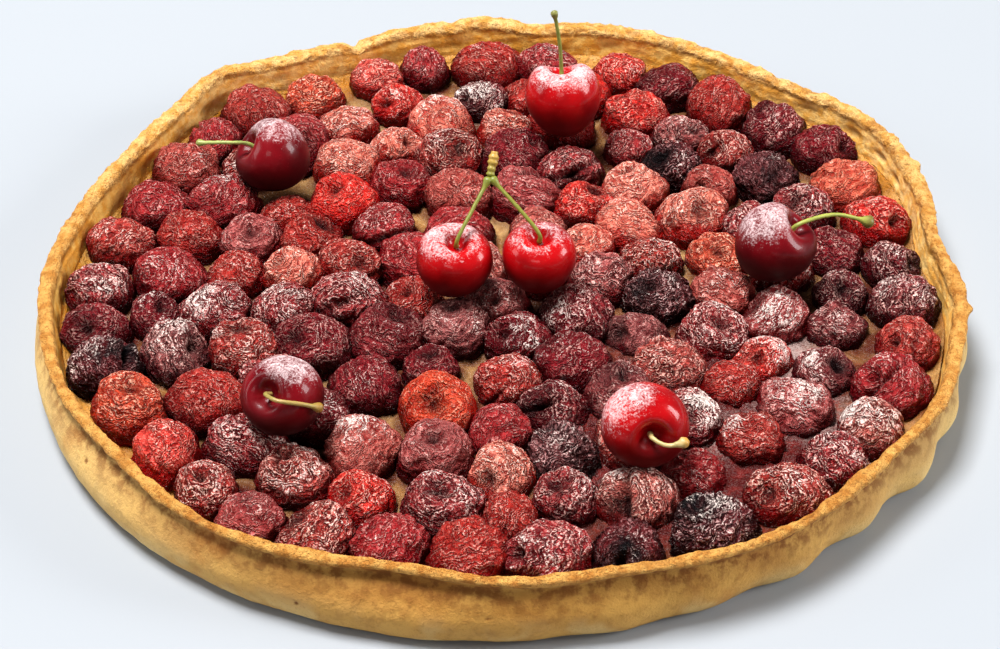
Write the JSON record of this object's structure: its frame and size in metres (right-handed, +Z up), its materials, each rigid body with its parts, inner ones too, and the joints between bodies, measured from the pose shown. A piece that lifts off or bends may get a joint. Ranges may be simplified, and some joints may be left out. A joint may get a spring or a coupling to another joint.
{
  "type": "cherry pie",
  "caption": "Open round cherry pie: raised shortcrust case, baked custard packed with whole cherries, fresh cherries with stems on top.",
  "frame": {"origin": "centre of the flat base, on the surface the pie rests on", "axes": "+Z up, -Y the front, +X the right seen from the front"},
  "size_m": [0.2984, 0.3035, 0.0688],
  "materials": {
    "baked_crust": "baked shortcrust, pale gold walls and an orange-gold crumbly rim",
    "custard": "baked custard, moist, stained pink by the fruit",
    "baked_cherries": "wrinkled baked cherry skins, maroon to orange-red, scorched in places, dusted with icing sugar",
    "red_cherry_skin": "glossy bright red skin with icing sugar on top",
    "dark_cherry_skin": "glossy dark red skin with icing sugar on top",
    "green_stem": "smooth yellow-green stalk, browner at its knob",
    "brown_stem": "dry beige-brown stalk"
  },
  "bodies": {
    "root": {"pastry_case": "baked_crust", "cherry_filling": "baked_cherries", "fresh_cherry_back": "red_cherry_skin", "fresh_cherry_upper_left": "dark_cherry_skin", "fresh_cherry_pair_left": "red_cherry_skin", "fresh_cherry_pair_right": "red_cherry_skin", "fresh_cherry_right": "dark_cherry_skin", "fresh_cherry_lower_left": "dark_cherry_skin", "fresh_cherry_front": "red_cherry_skin", "stem_back": "green_stem", "stem_upper_left": "green_stem", "stem_right": "green_stem", "stem_lower_left": "brown_stem", "stem_front": "brown_stem", "twin_stem": "green_stem"}
  },
  "joints": []
}
